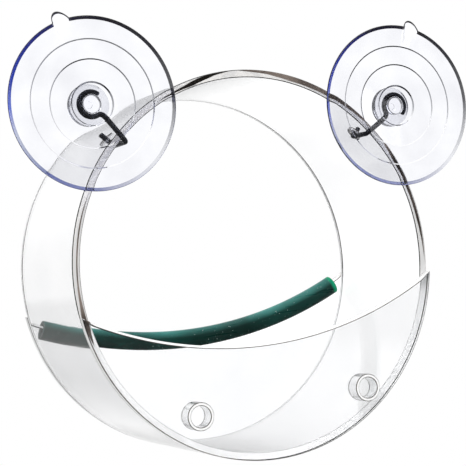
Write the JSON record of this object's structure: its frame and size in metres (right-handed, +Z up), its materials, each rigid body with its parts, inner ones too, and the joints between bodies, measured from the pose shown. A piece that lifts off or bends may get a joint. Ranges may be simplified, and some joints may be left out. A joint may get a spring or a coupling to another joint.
{
  "type": "window feeder",
  "caption": "Clear ring feeder for a window: a tray between glued panels, a slit-tube perch and open centre, hung from suction cups by bent wire hooks.",
  "frame": {"origin": "on the window pane's outer face, where the ring's axis meets it", "axes": "+Y out of the window along the ring's axis, +Z up, +X to the right as seen from the window side"},
  "size_m": [0.1907, 0.0825, 0.1745],
  "materials": {
    "clear_acrylic": "clear polished acrylic with bright sawn edges",
    "clear_vinyl": "clear soft vinyl with a faint violet-blue tint",
    "green_vinyl": "dark green smooth vinyl tube",
    "dark_wire": "dark bent steel wire, satin"
  },
  "bodies": {
    "window_cups": {"left_suction_cup": "clear_vinyl", "right_suction_cup": "clear_vinyl"},
    "feeder": {"feeder_ring": "clear_acrylic", "window_side_panel": "clear_acrylic", "outer_panel": "clear_acrylic", "perch_tube": "green_vinyl", "left_standoff": "clear_acrylic", "right_standoff": "clear_acrylic"},
    "left_hook": {"left_hook": "dark_wire"},
    "right_hook": {"right_hook": "dark_wire"}
  },
  "joints": [
    {"name": "feeder_swing", "type": "hinge", "parent": "window_cups", "child": "feeder", "pos_m": [0, 0.0435, 0], "axis": [0, 1, 0], "range_deg": [-2.8, 2.8]},
    {"name": "left_hook_swing", "type": "hinge", "parent": "window_cups", "child": "left_hook", "pos_m": [-0.06225, 0.0041, 0.06514], "axis": [0, 1, 0], "range_deg": [-10.1, 10.1]},
    {"name": "right_hook_swing", "type": "hinge", "parent": "window_cups", "child": "right_hook", "pos_m": [0.06452, 0.0041, 0.05549], "axis": [0, 1, 0], "range_deg": [-13.5, 13.5]}
  ],
  "couplings": [
    {"joint": "left_hook_swing", "follows": "feeder_swing", "ratio": -3.5736},
    {"joint": "right_hook_swing", "follows": "feeder_swing", "ratio": -4.7891}
  ]
}
